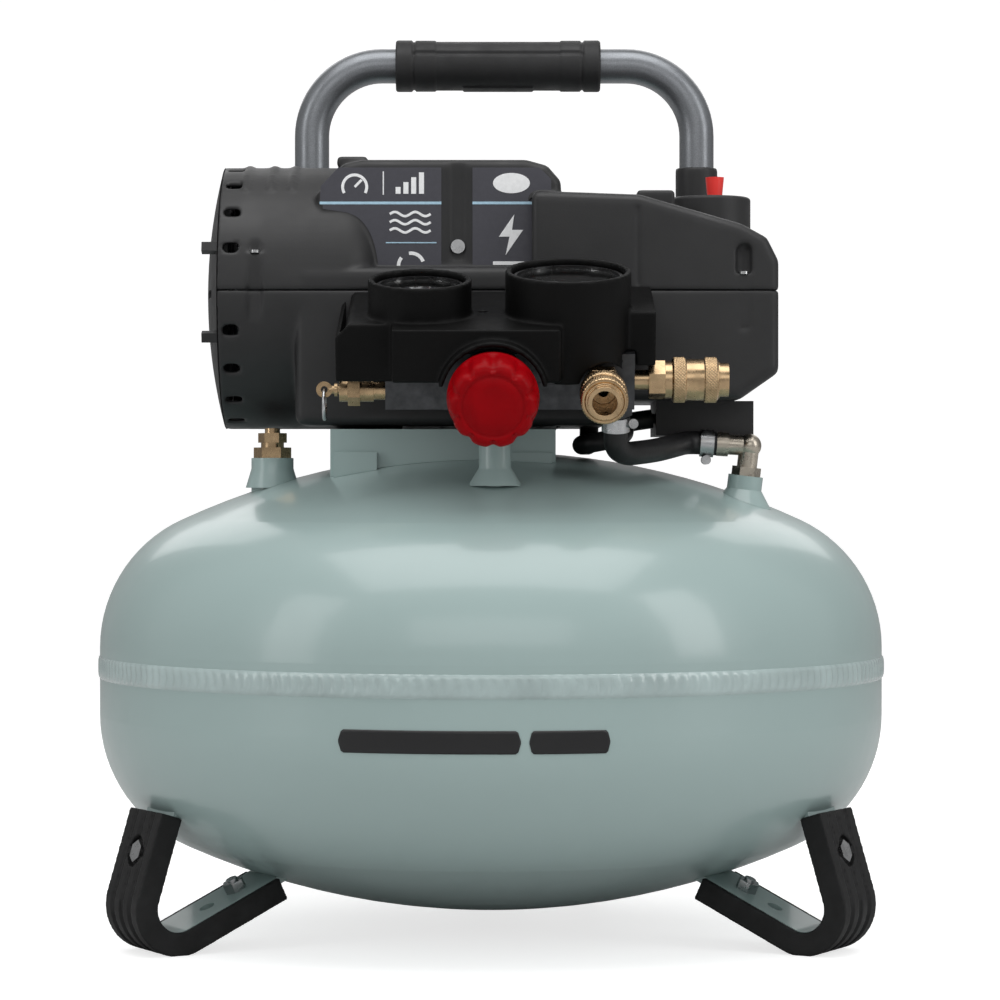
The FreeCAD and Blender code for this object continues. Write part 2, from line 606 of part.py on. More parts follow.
def shroud_form(inset):
    """The pump cover's full form, shrunk by inset all round."""
    i = inset
    barrel = cyl(BARREL_R - i, V(BARREL_X0, MOTOR_Y, MOTOR_Z), BARREL_X1 - BARREL_X0 - i, X)
    end = [e for e in barrel.Edges if abs(e.BoundBox.XMin - (BARREL_X1 - i)) < 0.01
           and e.BoundBox.YLength > 10]
    barrel = barrel.makeFillet(BARREL_ROUND - i, end)
    label = prism_xz([(-90 + i, 300), (-90 + i, 383), (-76 + i, SHROUD_TOP - 2 - i), (-66, SHROUD_TOP - i),
                      (18, SHROUD_TOP - i), (29 - i, SHROUD_TOP - 3 - i), (36 - i, 390 - i),
                      (38 - i, 300)], LABEL_FRONT + i, 50 - i)
    right = prism_xz([(20, 384 - i), (76, 382 - i), (128 - i, 367 - i), (141 - i, 360 - i),
                      (RIGHT_X - i, 348), (RIGHT_X - i, 291 + i), (127 - i, 277 + i), (20, 277 + i)],
                     SHROUD_FRONT + i, SHROUD_BACK - i)
    lower = box(-100 + i, 62 - i, SHROUD_FRONT + i, SHROUD_BACK - i, 264 + i, 345 - i)
    radius = SHROUD_ROUND - i
    return fuse([barrel, rounded(label, radius), rounded(right, radius), rounded(lower, radius)])


def screw_channel(x, front, z0, z1, boss_top):
    """A vertical channel in a front wall, with the screw's boss standing in its lower part."""
    channel = cyl(CHANNEL_R, V(x, front, z0 + CHANNEL_R), z1 - z0 - 2 * CHANNEL_R)
    for z in (z0 + CHANNEL_R, z1 - CHANNEL_R):
        channel = channel.fuse(Part.makeSphere(CHANNEL_R, V(x, front, z)))
    lining = cyl(CHANNEL_R + SHROUD_WALL, V(x, front, z0 + 1), z1 - z0 - 2)
    lining = lining.common(box(x - 20, x + 20, front + 0.6, front + 20, z0, z1))
    boss = cyl(CHANNEL_R - 0.8, V(x, front + 1.2, z0 + 2), boss_top - z0 - 2)
    boss = boss.common(box(x - 20, x + 20, front + 0.4, front + 20, z0, z1))
    return lining, channel, boss


def build_shroud():
    shell = shroud_form(0.0).cut(shroud_form(SHROUD_WALL))
    shell = shell.cut(cyl(BARREL_R - SHROUD_WALL, V(BARREL_X0 - 1, MOTOR_Y, MOTOR_Z), 10, X))
    shell = shell.cut(box(-48, 36, -28, 44, 255, 275))
    shell = shell.cut(cyl(THIN_HOSE_R + 0.3, V(52, 10, 255), 20))
    vents = 20
    for i in range(vents):
        angle = 360.0 * i / vents + 1.5
        if angle % 180 < 10:
            continue
        vent = box(-137, -129, -BARREL_R - 6, -BARREL_R + 6, -2.6, 2.6)
        vent.rotate(V(0, 0, 0), X, -angle)
        vent.translate(V(0, MOTOR_Y, MOTOR_Z))
        shell = shell.cut(vent)
    for x in (-127.0, -114.0, -103.0):
        rib = ring(BARREL_R + 1.2, BARREL_R - 1, V(x - 1.2, MOTOR_Y, MOTOR_Z), 2.4, X)
        shell = shell.fuse(rib.common(box(-140, -90, -100, 100, 386, 420)).cut(shroud_form(1.0)))
    for x, front, z0, z1, boss_top in ((129, SHROUD_FRONT, 312, 357, 341),
                                       (-120.5, SHROUD_FRONT + 1.5, 314, 374, 352)):
        lining, channel, boss = screw_channel(x, front, z0, z1, boss_top)
        shell = shell.fuse(lining.common(shroud_form(0.0))).cut(channel).fuse(boss)
    shell = shell.cut(box(-21.5, -12.5, LABEL_FRONT - 1, LABEL_FRONT + 1.3, 348, 399))
    shell = shell.cut(box(73.2, 76.2, SHROUD_FRONT - 1, SHROUD_FRONT + 1, 334.5, 376))
    clips = [box(-80, -64, -30, -18, 398, 404), box(76, 96, -20, 10, 374, 387.5)]
    for clip in clips:
        shell = shell.fuse(rounded(clip, 1.8).cut(shroud_form(0.0)))
    base = rounded(cyl(21.7, V(118, 38, 350), 38), 2.0).cut(cyl(18.9, V(118, 38, 350), 35.5))
    housing = base.cut(shroud_form(0.0)).cut(cyl(3.06, V(SWITCH.x, SWITCH.y, 380), 20))
    save("switch_housing", housing)
    collar = rounded(cyl(11.6, V(HANDLE_X1, HANDLE_Y, 340), 69), 1.5)
    collar = collar.fuse(box(HANDLE_X1 - 9, HANDLE_X1 + 9, SHROUD_BACK - 0.5, HANDLE_Y, 342, 358))
    shell = shell.fuse(collar.cut(shroud_form(0.0)))
    shell = shell.cut(cyl(HANDLE_R, V(HANDLE_X1, HANDLE_Y, 300), 120)).removeSplitter()
    shell = shell.cut(cyl(4.0, V(SWITCH.x, SWITCH.y, 350), 40))
    gland = V(GLAND.x, SHROUD_BACK - SHROUD_WALL, GLAND.z)
    shell = shell.cut(cyl(5, gland - Y * 5, 12, Y))
    wide = box(-200, 200, -100, 150, SPLIT_Z, 420)
    save("shroud_upper", main_solid(shell.common(wide)))
    save("shroud_lower", main_solid(shell.cut(wide)))
    gland_body = fuse([cyl(5, gland, 20, Y), ring(9, 4, gland + Y * SHROUD_WALL, 4, Y),
                       cone(7.5, 5.5, gland + Y * (SHROUD_WALL + 4), 12, Y)])
    save("cord_gland", gland_body.cut(cyl(3.5, gland - Y, 40, Y)))


def main_solid(shape):
    return max(shape.Solids, key=lambda solid: solid.Volume)


def dome(inset):
    """The end cover's domed form, bulging towards -X, shrunk by inset."""
    r = BARREL_R - inset
    depth = BARREL_X0 - END_COVER_X - inset
    dome_r = (r ** 2 + depth ** 2) / (2 * depth)
    angle = math.asin(r / dome_r)
    tip = V(END_COVER_X + inset, 0, 0)
    half = V(tip.x + dome_r * (1 - math.cos(angle / 2)), 0, dome_r * math.sin(angle / 2))
    rim = V(BARREL_X0, 0, r)
    centre = V(BARREL_X0, 0, 0)
    edges = [Part.Arc(tip, half, rim).toShape(),
             Part.LineSegment(rim, centre).toShape(),
             Part.LineSegment(centre, tip).toShape()]
    solid = Part.Face(Part.Wire(edges)).revolve(V(0, 0, 0), X, 360)
    solid.translate(V(0, MOTOR_Y, MOTOR_Z))
    return solid


def build_end_cover():
    cover = dome(0.0).cut(dome(SHROUD_WALL))
    for angle in (20, -20, 160, -160):
        lug = box(END_COVER_X + 1, BARREL_X0, -BARREL_R + 0.4, -BARREL_R + 5, -2.5, 2.5)
        lug.rotate(V(0, 0, 0), X, angle)
        lug.translate(V(0, MOTOR_Y, MOTOR_Z))
        cover = cover.fuse(lug)
    slots = 12
    for i in range(slots):
        slot = box(-160, -141, -2, 2, 24, 52)
        slot.rotate(V(0, 0, 0), X, 360.0 * i / slots)
        slot.translate(V(0, MOTOR_Y, MOTOR_Z))
        cover = cover.cut(slot)
    save("motor_end_cover", main_solid(cover))


def build_screws():
    screws = []
    screws.append(cyl(3.6, V(129, SHROUD_BACK, 345), 2, Y))
    screws.append(cyl(3.6, V(-17, LABEL_FRONT + 1.3, 356), 1.6, V(0, -1, 0)))
    screws.append(cyl(2.4, V(129, SHROUD_FRONT + 1.6, 341), 1.4))
    screws.append(cyl(2.4, V(-120.5, SHROUD_FRONT + 3.1, 352), 1.4))
    save("shroud_screws", Part.makeCompound(screws))


def build_switch():
    base = SWITCH
    knob = fuse([cone(4.0, 5.0, base + Z * 0.4, 10.6), cyl(3.0, base - Z * 14, 16)])
    save("switch_knob", knob)
    start = thin_points()[0]
    body = box(85.5, 136, -33, 30, 259, 277).fuse(rod(THIN_HOSE_BORE, start - X * 4, start + X * 4))
    save("pressure_switch", body.removeSplitter())


# --- handle -------------------------------------------------------------------------------------
def handle_path(radius):
    low = PLATE_LOW
    corners = [V(HANDLE_X0, HANDLE_Y, low), V(HANDLE_X0, HANDLE_Y, HANDLE_TOP),
               V(HANDLE_X1, HANDLE_Y, HANDLE_TOP), V(HANDLE_X1, HANDLE_Y, low)]
    b = HANDLE_BEND
    k = b * (1 - math.sqrt(0.5))
    left_mid = V(HANDLE_X0 + k, HANDLE_Y, HANDLE_TOP - k)
    right_mid = V(HANDLE_X1 - k, HANDLE_Y, HANDLE_TOP - k)
    path = Part.Wire([
        Part.LineSegment(corners[0], corners[1] - Z * b).toShape(),
        Part.Arc(corners[1] - Z * b, left_mid, corners[1] + X * b).toShape(),
        Part.LineSegment(corners[1] + X * b, corners[2] - X * b).toShape(),
        Part.Arc(corners[2] - X * b, right_mid, corners[2] - Z * b).toShape(),
        Part.LineSegment(corners[2] - Z * b, corners[3]).toShape(),
    ])
    return path.makePipeShell([Part.Wire(Part.makeCircle(radius, corners[0], Z))], True, False)


def build_handle():
    tube = handle_path(HANDLE_R).cut(handle_path(HANDLE_R - HANDLE_WALL))
    save("handle_tube", tube.cut(rear_plate()))
    x0, x1 = -52.5, 60.3
    grip_r = 14.2
    start = V(x0, HANDLE_Y, HANDLE_TOP)
    grip = fuse([cyl(grip_r - 1.5, start, x1 - x0, X), cyl(grip_r, start, 10, X),
                 cyl(grip_r, V(x1 - 10, HANDLE_Y, HANDLE_TOP), 10, X),
                 cyl(grip_r - 0.5, start + X * 14, x1 - x0 - 28, X)])
    save("handle_grip", grip.cut(cyl(HANDLE_R, start - X, 130, X)))


# --- motor and pump -----------------------------------------------------------------------------
def motor_at(x):
    return V(x, MOTOR_Y, MOTOR_Z)


def build_motor():
    stator = fuse([ring(47, 27, motor_at(-115), 50, X), ring(42, 28, motor_at(-122), 61, X)])
    save("motor_stator", stator)
    pin = V(-6, MOTOR_Y, MOTOR_Z - CRANK_THROW)
    rotor = fuse([cyl(6, motor_at(-142), 128, X), cyl(26, motor_at(-113), 46, X),
                  cyl(16, motor_at(-14), 8, X), cyl(4, pin, 2.5, X)])
    save("rotor_shaft", rotor)
    fan = ring(12, 6, motor_at(-142), 6, X)
    blades = 9
    for i in range(blades):
        blade = box(-142, -136, -1, 1, 11, 47)
        blade.rotate(V(0, 0, 0), X, 360.0 * i / blades)
        blade.translate(V(0, MOTOR_Y, MOTOR_Z))
        fan = fan.fuse(blade)
    fan = fan.fuse(ring(48, 46, motor_at(-142), 6, X)).removeSplitter()
    save("cooling_fan", fan)
    bearings = [ring(14, 6.02, motor_at(-131), 6, X), ring(14, 6.02, motor_at(-46), 6, X)]
    save("shaft_bearings", Part.makeCompound(bearings))
    bracket = fuse([ring(49, 14, motor_at(-131), 4, X), ring(49, 47, motor_at(-127), 81, X),
                    ring(17, 14, motor_at(-131), 6, X)])
    windows = 6
    for i in range(windows):
        window = box(-132, -126, -6, 6, 22, 40)
        window.rotate(V(0, 0, 0), X, 360.0 * i / windows)
        window.translate(V(0, MOTOR_Y, MOTOR_Z))
        bracket = bracket.cut(window)
    # room for the back wall of the pump cover's panel
    bracket = bracket.cut(box(-63, -40, 45, 60, 338, 390))
    save("motor_end_bracket", bracket)


def build_pump():
    crankcase = box(-46, 34, -26, 42, SADDLE_TOP, 355)
    crankcase = crankcase.cut(box(-40, 28, -30, 36, SADDLE_TOP + 6, 349))
    crankcase = crankcase.cut(cyl(14, motor_at(-50), 12, X))
    crankcase = crankcase.cut(cyl(25.5, V(CYLINDER_X, MOTOR_Y, 340), 20))
    save("crankcase", crankcase)
    base = V(CYLINDER_X, MOTOR_Y, 355)
    fins = [cyl(29, base + Z * (5 * i), 2.5) for i in range(6)]
    cylinder = fuse([cyl(27.5, base, 26.5)] + fins)
    cylinder = cylinder.common(box(-40, 40, -40, 60, 355, 381.5)).cut(cyl(25, base, 30))
    save("cylinder", cylinder)
    head = cyl(29, base + Z * 26.5, 5)
    for i in range(-3, 4):
        fin = box(CYLINDER_X + 7 * i - 1.2, CYLINDER_X + 7 * i + 1.2, -21, 37, 384, 396)
        head = head.fuse(fin.common(cyl(29, base + Z * 26.5, 20)))
    save("cylinder_head", head.removeSplitter())
    big_end = V(-3, MOTOR_Y, MOTOR_Z - CRANK_THROW)
    piston = fuse([ring(12, 7, big_end, 8, X),
                   box(-2, 4, MOTOR_Y - 5, MOTOR_Y + 5, MOTOR_Z - CRANK_THROW + 10, 358),
                   cyl(24.94, V(CYLINDER_X, MOTOR_Y, 357), 10)])
    save("piston_rod", piston)


# --- build everything ---------------------------------------------------------------------------
def main():
    build_tank()
    build_bosses()
    build_saddle()
    build_feet()
    build_check_valve()
    build_elbow()
    build_hoses()
    build_drain()
    build_manifold()
    build_post()
    build_cover()
    build_regulator()
    for name in GAUGES:
        build_gauge(name)
    build_couplers()
    build_safety_valve()
    build_shroud()
    build_end_cover()
    build_screws()
    build_switch()
    build_handle()
    build_motor()
    build_pump()


main()
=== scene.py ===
import json
import math
import bmesh
import bpy
from mathutils import Matrix, Vector


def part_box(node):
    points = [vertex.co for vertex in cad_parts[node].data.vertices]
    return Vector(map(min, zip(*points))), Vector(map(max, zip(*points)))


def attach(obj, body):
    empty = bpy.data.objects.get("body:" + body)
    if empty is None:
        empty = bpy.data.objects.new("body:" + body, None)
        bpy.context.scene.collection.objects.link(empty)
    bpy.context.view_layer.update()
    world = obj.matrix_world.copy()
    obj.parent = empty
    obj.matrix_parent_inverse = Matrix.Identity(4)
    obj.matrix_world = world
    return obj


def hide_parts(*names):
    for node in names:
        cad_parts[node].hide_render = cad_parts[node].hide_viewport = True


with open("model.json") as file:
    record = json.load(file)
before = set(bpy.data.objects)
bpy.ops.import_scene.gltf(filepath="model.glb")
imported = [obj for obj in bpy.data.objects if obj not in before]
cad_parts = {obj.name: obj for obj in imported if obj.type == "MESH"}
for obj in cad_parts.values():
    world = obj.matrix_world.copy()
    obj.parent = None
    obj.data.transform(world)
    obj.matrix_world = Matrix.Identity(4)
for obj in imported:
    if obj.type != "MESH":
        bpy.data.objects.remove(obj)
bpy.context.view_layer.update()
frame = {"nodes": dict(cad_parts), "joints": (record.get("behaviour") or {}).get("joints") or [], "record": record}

NODES = frame["nodes"]
JOINTS = {joint["name"]: joint for joint in frame["joints"]}
MM = 0.001


# --- where things are, read from the frame ------------------------------------------------------
CONSOLE_FRONT = Vector(JOINTS["regulator_turn"]["axis"]).normalized()
CONSOLE_UP = -Vector(JOINTS["tank_needle_turn"]["axis"]).normalized()
SIDE = Vector((1, 0, 0))
UP = Vector((0, 0, 1))
KNOB_POINT = Vector(JOINTS["regulator_turn"]["pos_m"])
TANK_LOW, TANK_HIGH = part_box("tank_upper_shell")
MOTOR_AXIS = Vector(JOINTS["shaft_spin"]["pos_m"])


# --- mesh helpers -------------------------------------------------------------------------------
def new_object(name, mesh):
    obj = bpy.data.objects.new(name, mesh)
    bpy.context.scene.collection.objects.link(obj)
    return obj


def mesh_object(name, vertices, faces, smooth=True):
    mesh = bpy.data.meshes.new(name)
    mesh.from_pydata([tuple(v) for v in vertices], [], faces)
    mesh.validate()
    tidy = bmesh.new()
    tidy.from_mesh(mesh)
    bmesh.ops.recalc_face_normals(tidy, faces=tidy.faces)
    tidy.to_mesh(mesh)
    tidy.free()
    mesh.polygons.foreach_set("use_smooth", [smooth] * len(mesh.polygons))
    return new_object(name, mesh)


def basis(axis, hint=None):
    """Two unit vectors square to axis and to each other."""
    axis = Vector(axis).normalized()
    hint = Vector(hint) if hint is not None else (UP if abs(axis.z) < 0.9 else SIDE)
    u = (hint - axis * hint.dot(axis)).normalized()
    return u, axis.cross(u)


def turned(name, origin, axis, profile, steps=64, ripple=None, closed=False, hint=None):
    """A surface of revolution. profile lists (distance along axis, radius), in metres, and
    ripple(angle, along, radius) may change the radius. closed joins the last ring to the first."""
    origin = Vector(origin)
    axis = Vector(axis).normalized()
    u, w = basis(axis, hint)
    vertices = []
    for along, radius in profile:
        for i in range(steps):
            a = 2 * math.pi * i / steps
            r = ripple(a, along, radius) if ripple else radius
            vertices.append(origin + axis * along + (u * math.cos(a) + w * math.sin(a)) * r)
    faces = []
    rings = len(profile)
    for j in range(rings if closed else rings - 1):
        k = (j + 1) % rings
        for i in range(steps):
            n = (i + 1) % steps
            faces.append((j * steps + i, j * steps + n, k * steps + n, k * steps + i))
    if not closed:
        faces.append(tuple(range(steps - 1, -1, -1)))
        faces.append(tuple((rings - 1) * steps + i for i in range(steps)))
    return mesh_object(name, vertices, faces)


def slab(name, outline, origin, across, up, thickness, bevel=0.0002):
    """A flat plate from a 2D outline (in metres), standing thickness proud of its plane."""
    across, up = Vector(across).normalized(), Vector(up).normalized()
    out = across.cross(up)
    base = [Vector(origin) + across * x + up * y for x, y in outline]
    front = [v + out * thickness for v in base]
    count = len(outline)
    faces = [tuple(range(count - 1, -1, -1)), tuple(range(count, 2 * count))]
    for i in range(count):
        n = (i + 1) % count
        faces.append((i, n, count + n, count + i))
    obj = mesh_object(name, base + front, faces, smooth=False)
    if bevel:
        add_bevel(obj, bevel, 2)
    return obj


def add_bevel(obj, width, segments=2, angle=32.0):
    bevel = obj.modifiers.new("edge", "BEVEL")
    bevel.width = width
    bevel.segments = segments
    bevel.limit_method = "ANGLE"
    bevel.angle_limit = math.radians(angle)
    bevel.harden_normals = False
    return bevel


def weld(obj, distance=0.000002):
    joined = obj.modifiers.new("weld", "WELD")
    joined.merge_threshold = distance


def smooth_faces(obj, angle=32.0):
    """Smooth shading with creases kept sharp. Only face and edge flags change, not the vertices."""
    mesh = obj.data
    mesh.polygons.foreach_set("use_smooth", [True] * len(mesh.polygons))
    if "custom_normal" in mesh.attributes:
        mesh.attributes.remove(mesh.attributes["custom_normal"])
    mesh.set_sharp_from_angle(angle=math.radians(angle))


def machined(name, width=0.0004, segments=2):
    """A CAD node's own mesh, with its edges broken."""
    obj = NODES[name]
    mesh = obj.data
    mesh.polygons.foreach_set("use_smooth", [True] * len(mesh.polygons))
    if "custom_normal" in mesh.attributes:
        mesh.attributes.remove(mesh.attributes["custom_normal"])
    weld(obj)
    if width:
        bevel = add_bevel(obj, width, segments)
        bevel.harden_normals = True
    return obj


def moulded(name, voxel, passes):
    """A CAD node's own mesh with rounded edges and filled inner corners, as a moulding has."""
    obj = NODES[name]
    weld(obj)
    remesh = obj.modifiers.new("even", "REMESH")
    remesh.mode = "VOXEL"
    remesh.voxel_size = voxel
    remesh.adaptivity = 0.0
    remesh.use_smooth_shade = True
    relax = obj.modifiers.new("soft", "SMOOTH")
    relax.factor = 0.5
    relax.iterations = passes
    return obj


# --- materials ----------------------------------------------------------------------------------
class Shader:
    """A Principled material with a few short ways to add procedural detail."""

    def __init__(self, name, color, roughness, metallic=0.0):
        self.material = bpy.data.materials.new(name)
        self.material.use_nodes = True
        self.tree = self.material.node_tree
        self.bsdf = self.tree.nodes["Principled BSDF"]
        self.bsdf.inputs["Base Color"].default_value = (*color, 1)
        self.bsdf.inputs["Roughness"].default_value = roughness
        self.bsdf.inputs["Metallic"].default_value = metallic
        self.color = color
        self.place = self.tree.nodes.new("ShaderNodeTexCoord").outputs["Object"]
        self.height = None

    def set(self, name, value):
        self.bsdf.inputs[name].default_value = value
        return self

    def node(self, kind, **values):
        made = self.tree.nodes.new(kind)
        for key, value in values.items():
            setattr(made, key, value)
        return made

    def link(self, a, b):
        self.tree.links.new(a, b)

    def stretched(self, scale):
        mapping = self.node("ShaderNodeMapping")
        mapping.inputs["Scale"].default_value = scale
        self.link(self.place, mapping.inputs["Vector"])
        return mapping.outputs["Vector"]

    def noise(self, scale, detail=4.0, stretch=None, roughness=0.55):
        made = self.node("ShaderNodeTexNoise")
        made.inputs["Scale"].default_value = scale
        made.inputs["Detail"].default_value = detail
        made.inputs["Roughness"].default_value = roughness
        self.link(self.stretched(stretch) if stretch else self.place, made.inputs["Vector"])
        return made.outputs["Fac"]

    def ramp(self, value, stops):
        made = self.node("ShaderNodeValToRGB")
        elements = made.color_ramp.elements
        while len(elements) < len(stops):
            elements.new(0.5)
        for element, (position, color) in zip(elements, stops):
            element.position = position
            element.color = (*color, 1) if len(color) == 3 else color
        self.link(value, made.inputs["Fac"])
        return made.outputs["Color"]

    def spread(self, value, low, high):
        made = self.node("ShaderNodeMapRange")
        made.inputs["From Min"].default_value = 0.3
        made.inputs["From Max"].default_value = 0.7
        made.inputs["To Min"].default_value = low
        made.inputs["To Max"].default_value = high
        self.link(value, made.inputs["Value"])
        return made.outputs["Result"]

    def vary_color(self, value, dark, light):
        shade = tuple(c * dark for c in self.color)
        tint = tuple(min(1, c * light) for c in self.color)
        self.link(self.ramp(value, [(0.3, shade), (0.7, tint)]), self.bsdf.inputs["Base Color"])
        return self

    def vary_roughness(self, value, low, high):
        self.link(self.spread(value, low, high), self.bsdf.inputs["Roughness"])
        return self

    def bump(self, value, distance, strength=1.0):
        made = self.node("ShaderNodeBump")
        made.inputs["Distance"].default_value = distance
        made.inputs["Strength"].default_value = strength
        self.link(value, made.inputs["Height"])
        if self.height is not None:
            self.link(self.height, made.inputs["Normal"])
        self.height = made.outputs["Normal"]
        self.link(self.height, self.bsdf.inputs["Normal"])
        return self


def srgb(code):
    values = [int(code[i:i + 2], 16) / 255 for i in (0, 2, 4)]
    return tuple(v / 12.92 if v <= 0.04045 else ((v + 0.055) / 1.055) ** 2.4 for v in values)


def tank_paint():
    paint = Shader("tank_paint", srgb("9CB0AE"), 0.3)
    paint.set("Coat Weight", 0.45).set("Coat Roughness", 0.12).set("Specular IOR Level", 0.45)
    paint.vary_color(paint.noise(5, 3), 0.985, 1.015)
    paint.vary_roughness(paint.noise(60, 4), 0.28, 0.34)
    paint.bump(paint.noise(11, 1), 0.0005, 0.2)
    return paint.material


def weld_paint():
    paint = Shader("weld_paint", srgb("A6B7B6"), 0.26)
    paint.set("Coat Weight", 0.6).set("Coat Roughness", 0.08)
    paint.vary_color(paint.noise(40, 4), 0.9, 1.12)
    paint.bump(paint.noise(320, 4), 0.0004, 0.6)
    return paint.material


def moulded_plastic(name, color, low, high, grain=0.00006, shine=0.45):
    plastic = Shader(name, color, (low + high) / 2)
    plastic.set("Specular IOR Level", shine)
    plastic.vary_color(plastic.noise(30, 5), 0.86, 1.14)
    plastic.vary_roughness(plastic.noise(45, 5), low, high)
    plastic.bump(plastic.noise(1500, 2), grain, 0.6)
    return plastic.material


def rubber(name, color, low, high):
    soft = Shader(name, color, (low + high) / 2)
    soft.set("Specular IOR Level", 0.4)
    soft.vary_color(soft.noise(60, 6), 0.8, 1.25)
    soft.vary_roughness(soft.noise(90, 5), low, high)
    soft.bump(soft.noise(900, 4), 0.00012, 0.6)
    return soft.material


def metal(name, color, low, high, lines=None, wear=0.15):
    bare = Shader(name, color, (low + high) / 2, 1.0)
    bare.vary_color(bare.noise(120, 6), 1 - wear, 1 + wear)
    bare.vary_roughness(bare.noise(220, 5, lines), low, high)
    bare.bump(bare.noise(700, 3, lines), 0.00004, 0.5)
    return bare.material


def handle_paint():
    paint = Shader("handle_paint", srgb("7E8185"), 0.34, 0.8)
    paint.set("Coat Weight", 0.25).set("Coat Roughness", 0.2)
    paint.vary_color(paint.noise(1800, 1), 0.86, 1.12)
    paint.vary_roughness(paint.noise(80, 4), 0.3, 0.44)
    paint.bump(paint.noise(1400, 2), 0.00003, 0.6)
    return paint.material


def knob_plastic():
    red = Shader("knob_red", srgb("8E0008"), 0.46)
    red.set("Specular IOR Level", 0.08)
    red.set("Subsurface Weight", 0.04).set("Subsurface Scale", 0.002)
    red.vary_color(red.noise(80, 5), 0.88, 1.1)
    red.vary_roughness(red.noise(160, 5), 0.3, 0.46)
    red.bump(red.noise(1100, 3), 0.00005, 0.6)
    return red.material


def clear_lens():
    lens = Shader("clear_lens", (0.97, 0.99, 0.98), 0.03)
    lens.set("Transmission Weight", 1.0).set("IOR", 1.49)
    lens.vary_roughness(lens.noise(200, 4), 0.015, 0.05)
    lens.bump(lens.noise(90, 2), 0.00003, 0.3)
    return lens.material


def printed(name, color, roughness=0.4):
    ink = Shader(name, color, roughness)
    ink.vary_color(ink.noise(500, 3), 0.94, 1.05)
    ink.vary_roughness(ink.noise(300, 4), roughness * 0.85, roughness * 1.2)
    ink.bump(ink.noise(1600, 2), 0.00002, 0.4)
    return ink.material


def floor_paint():
    pale = Shader("floor_paint", (0.55, 0.55, 0.55), 0.6)
    pale.vary_color(pale.noise(3, 3), 0.99, 1.01)
    # the floor glows for the camera alone, so it is white without lighting the tank from below
    pale.set("Emission Color", (1, 1, 1, 1))
    seen = pale.node("ShaderNodeMath", operation="MULTIPLY")
    pale.link(pale.node("ShaderNodeLightPath").outputs["Is Camera Ray"], seen.inputs[0])
    seen.inputs[1].default_value = 0.72
    pale.link(seen.outputs["Value"], pale.bsdf.inputs["Emission Strength"])
    return pale.material


MATERIALS = {
    "tank_paint": tank_paint(),
    "pad_rubber": rubber("pad_rubber", srgb("0B0B0C"), 0.5, 0.68),
    "zinc_steel": metal("zinc_steel", srgb("B9BABB"), 0.2, 0.4),
    "brass": metal("brass", srgb("B99E7B"), 0.16, 0.34, wear=0.2),
    "nickel": metal("nickel", srgb("B5ADA0"), 0.2, 0.4, wear=0.2),
    "hose_rubber": rubber("hose_rubber", srgb("151516"), 0.34, 0.5),
    "lever_red": moulded_plastic("lever_red", srgb("C4161C"), 0.3, 0.45),
    "zinc_casting": metal("zinc_casting", srgb("4C4D4F"), 0.36, 0.55, wear=0.3),
    "console_plastic": moulded_plastic("console_plastic", srgb("050505"), 0.46, 0.6, shine=0.14),
    "knob_red": knob_plastic(),
    "gauge_case": moulded_plastic("gauge_case", srgb("171718"), 0.22, 0.36, 0.00002),
    "gauge_dial": printed("gauge_dial", srgb("1A1C24"), 0.35),
    "needle_paint": printed("needle_paint", srgb("EE5A22"), 0.35),
    "gauge_lens": clear_lens(),
    "shroud_plastic": moulded_plastic("shroud_plastic", srgb("202021"), 0.42, 0.58),
    "switch_red": moulded_plastic("switch_red", srgb("FF3B34"), 0.3, 0.42),
    "handle_paint": handle_paint(),
    "motor_steel": metal("motor_steel", srgb("7C7F82"), 0.3, 0.5),
    "cast_aluminium": metal("cast_aluminium", srgb("A9ABAD"), 0.4, 0.62, wear=0.22),
}
WELD_PAINT = weld_paint()
GRIP_RUBBER = rubber("grip_rubber", srgb("202021"), 0.45, 0.65)
TANK_INK = printed("tank_ink", srgb("101012"), 0.34)
LABEL_FILM = printed("label_film", srgb("3E3E46"), 0.42)
LABEL_BLUE = printed("label_blue", srgb("A9CBDE"), 0.4)
LABEL_WHITE = printed("label_white", srgb("F2F3F4"), 0.42)


def paint(obj, material):
    obj.data.materials.clear()
    obj.data.materials.append(material)
    return obj


def paint_nodes():
    for part in frame["record"]["subparts"]:
        paint(NODES[part["node"]], MATERIALS[part["material_slot"]])


def piece(obj, body, slot, material=None, replaced=()):
    """Finishes a new piece: its material, the body it rides on and what it stands for."""
    paint(obj, material or MATERIALS[slot])
    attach(obj, body)
    if replaced:
        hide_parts(*replaced)
    return obj


# --- CAD nodes that keep their shape ------------------------------------------------------------
def finish_nodes():
    for name in ("shroud_upper", "shroud_lower"):
        moulded(name, 0.0011, 5)
    moulded("console_cover", 0.0009, 5)
    moulded("regulator_bonnet", 0.0008, 3)
    for name in ("foot_pad_left", "foot_pad_right", "foot_pad_rear"):
        moulded(name, 0.0007, 3)
    done = {"shroud_upper", "shroud_lower", "console_cover", "regulator_bonnet",
            "foot_pad_left", "foot_pad_right", "foot_pad_rear"}
    smooth_only = {"tank_upper_shell", "tank_lower_shell", "handle_tube", "supply_hose", "unloader_hose",
                   "regulator_spring", "safety_valve_ring", "tank_seam_weld"}
    for name, obj in NODES.items():
        if name in done:
            continue
        if name in smooth_only:
            smooth_faces(obj)
        else:
            machined(name, 0.0004 if "foot" not in name else 0.0006)


